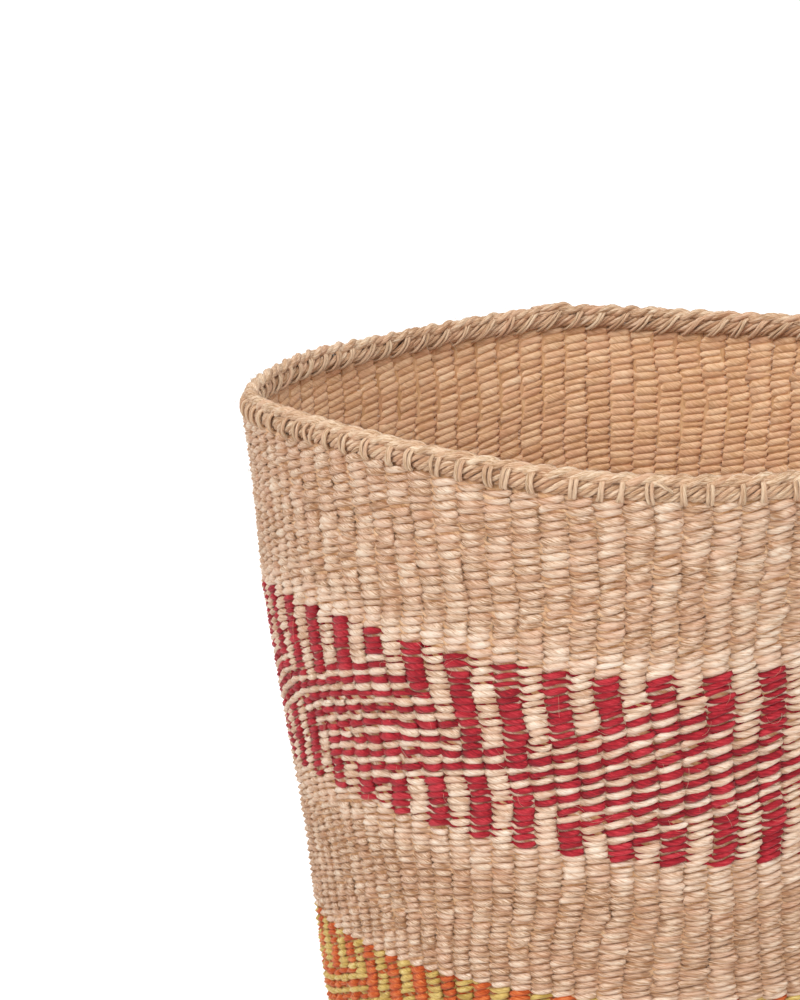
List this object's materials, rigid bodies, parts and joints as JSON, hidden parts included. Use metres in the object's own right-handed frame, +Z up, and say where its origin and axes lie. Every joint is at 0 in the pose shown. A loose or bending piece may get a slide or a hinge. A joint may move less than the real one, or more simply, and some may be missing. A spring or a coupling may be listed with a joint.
{
  "type": "kiondo basket",
  "caption": "Round tapering kiondo basket of twined sisal with two patterned colour bands and a lashed, corded rim.",
  "frame": {"origin": "centre of the flat base, on the surface that the basket stands on", "axes": "+Z up along the basket's axis, -Y towards the side that the picture shows"},
  "size_m": [0.2594, 0.2594, 0.2704],
  "materials": {
    "natural_sisal": "undyed twined sisal",
    "inside_sisal": "undyed twined sisal, shaded",
    "crimson_sisal": "crimson and cream twined sisal",
    "orange_sisal": "orange and yellow twined sisal",
    "pale_sisal": "pale sisal strand",
    "rim_sisal": "twisted sisal cord",
    "warp_sisal": "hard twisted sisal cord"
  },
  "bodies": {
    "root": {"base_start_knot": "warp_sisal", "base_weft_under": "natural_sisal", "base_weft_over": "natural_sisal", "warps": "warp_sisal", "weft_heel_outside": "natural_sisal", "weft_lower_natural": "natural_sisal", "weft_orange_yellow": "orange_sisal", "weft_middle_natural": "natural_sisal", "weft_red_cream": "crimson_sisal", "weft_upper_natural": "natural_sisal", "weft_heel_inside": "inside_sisal", "weft_inside": "inside_sisal", "rim_roll": "rim_sisal", "rim_lashing": "pale_sisal", "rim_crest": "rim_sisal"}
  },
  "joints": []
}
